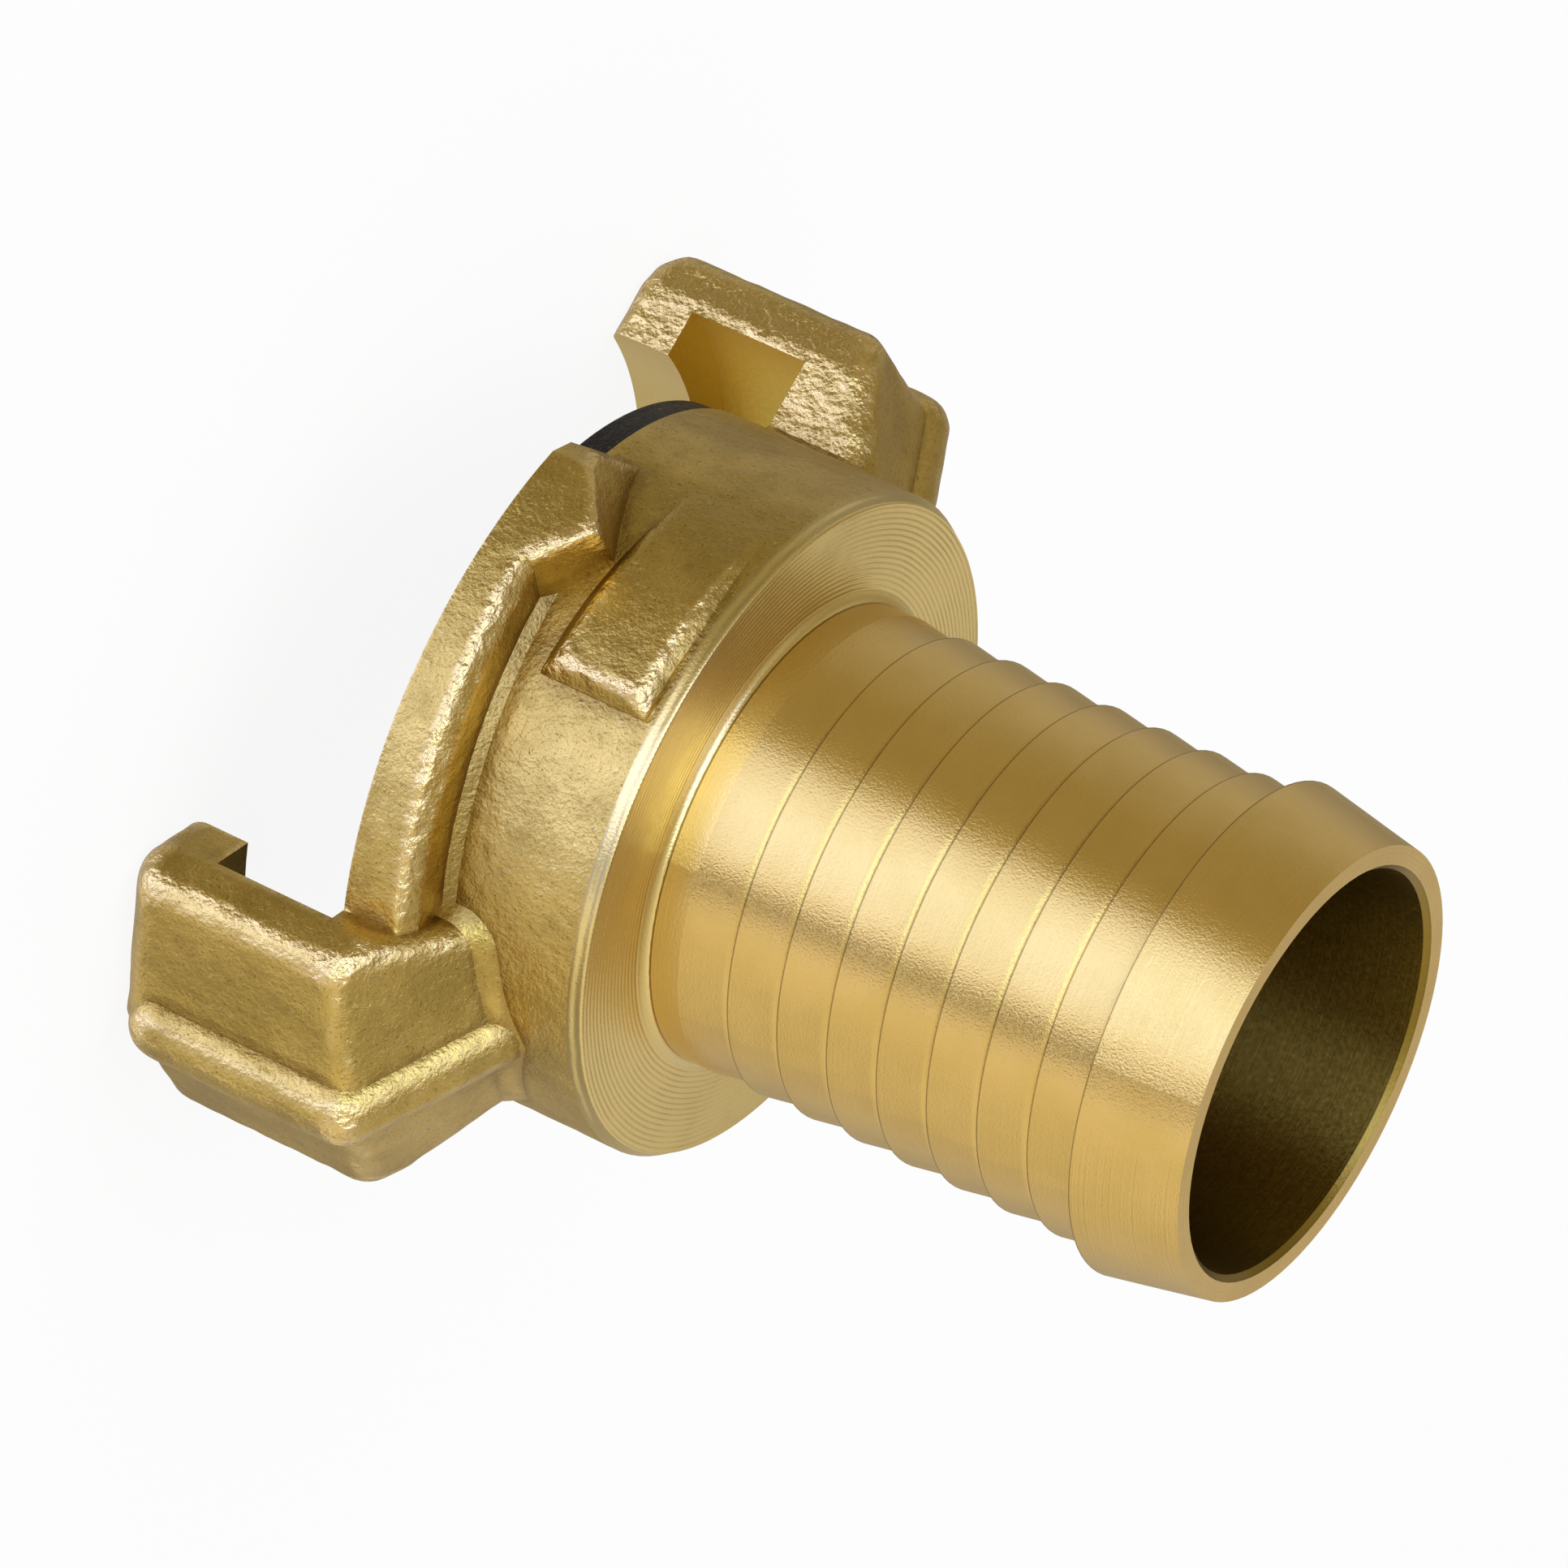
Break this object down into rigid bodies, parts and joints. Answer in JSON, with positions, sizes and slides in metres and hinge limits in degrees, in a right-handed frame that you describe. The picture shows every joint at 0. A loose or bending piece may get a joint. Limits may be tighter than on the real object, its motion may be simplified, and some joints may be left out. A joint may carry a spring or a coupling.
{
  "type": "claw hose coupling",
  "caption": "Forged brass claw coupling with a barbed hose tail, cam rims behind its claws and a rubber seal ring in front.",
  "frame": {"origin": "on the axis of the bore, in the plane of the two flat claw tips, which is the bottom of the box around the part", "axes": "+Z along the bore from the claws to the mouth of the hose tail; +X from the axis to the middle of one claw, the other claw lies along -X; +Y completes a right-handed frame"},
  "size_m": [0.0552, 0.0432, 0.054],
  "materials": {
    "brass": "hot-forged, rough as forged on the claws and the head, turned on the collar, the tail and the lips",
    "rubber": "moulded, matt"
  },
  "bodies": {
    "root": {"coupling_body": "brass", "seal_ring": "rubber"}
  },
  "joints": []
}
